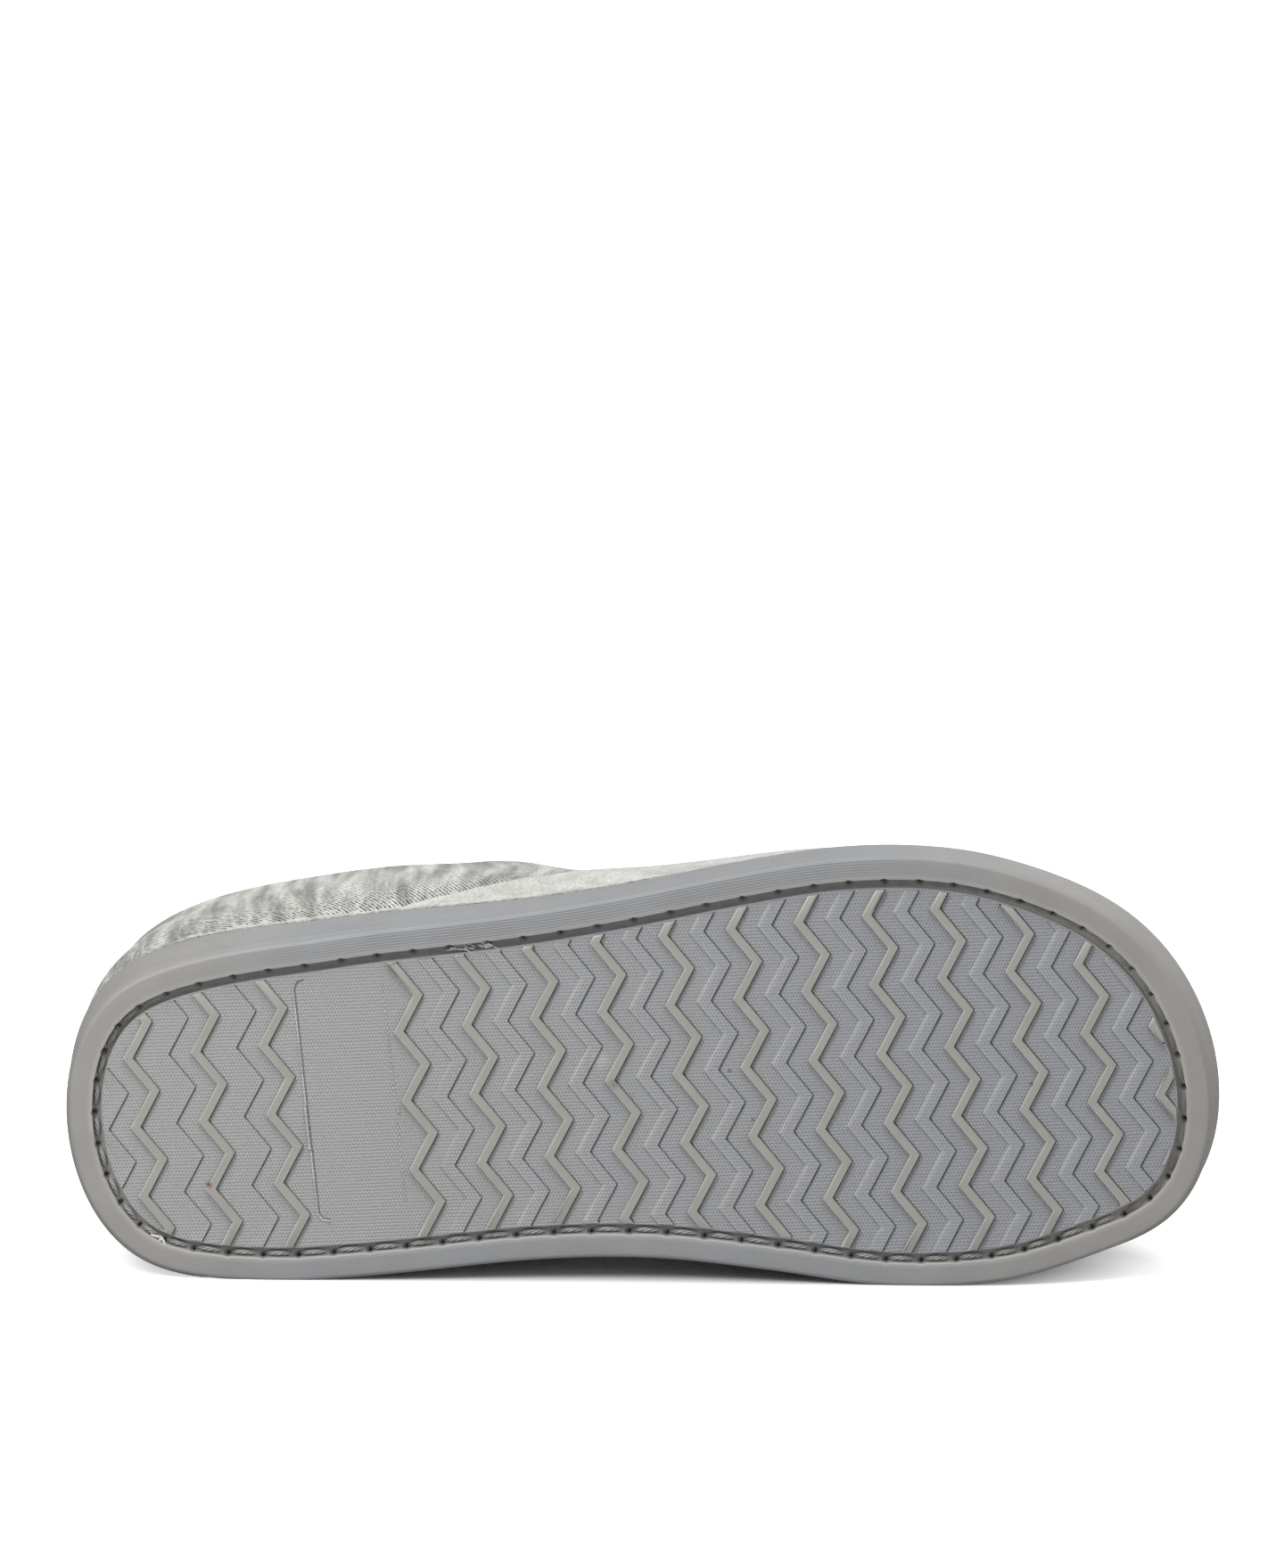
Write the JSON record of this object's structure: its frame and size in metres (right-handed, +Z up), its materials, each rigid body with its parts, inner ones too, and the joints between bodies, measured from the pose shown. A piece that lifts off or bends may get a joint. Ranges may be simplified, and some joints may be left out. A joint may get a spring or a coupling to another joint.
{
  "type": "slipper",
  "caption": "Closed-back house slipper for the right foot: soft knit upper on a rubber cup sole with a zigzag tread, lying on its side.",
  "frame": {"origin": "middle of the bounding box, on the floor that the slipper lies on", "axes": "+X from heel to toe, +Z up; the slipper lies on its medial side with its sole towards -Y"},
  "size_m": [0.2883, 0.0776, 0.1079],
  "materials": {
    "sole_rubber": "matte",
    "knit": "matte",
    "footbed": "matte"
  },
  "bodies": {
    "root": {"outsole": "sole_rubber", "upper": "knit", "insole": "footbed"}
  },
  "joints": []
}
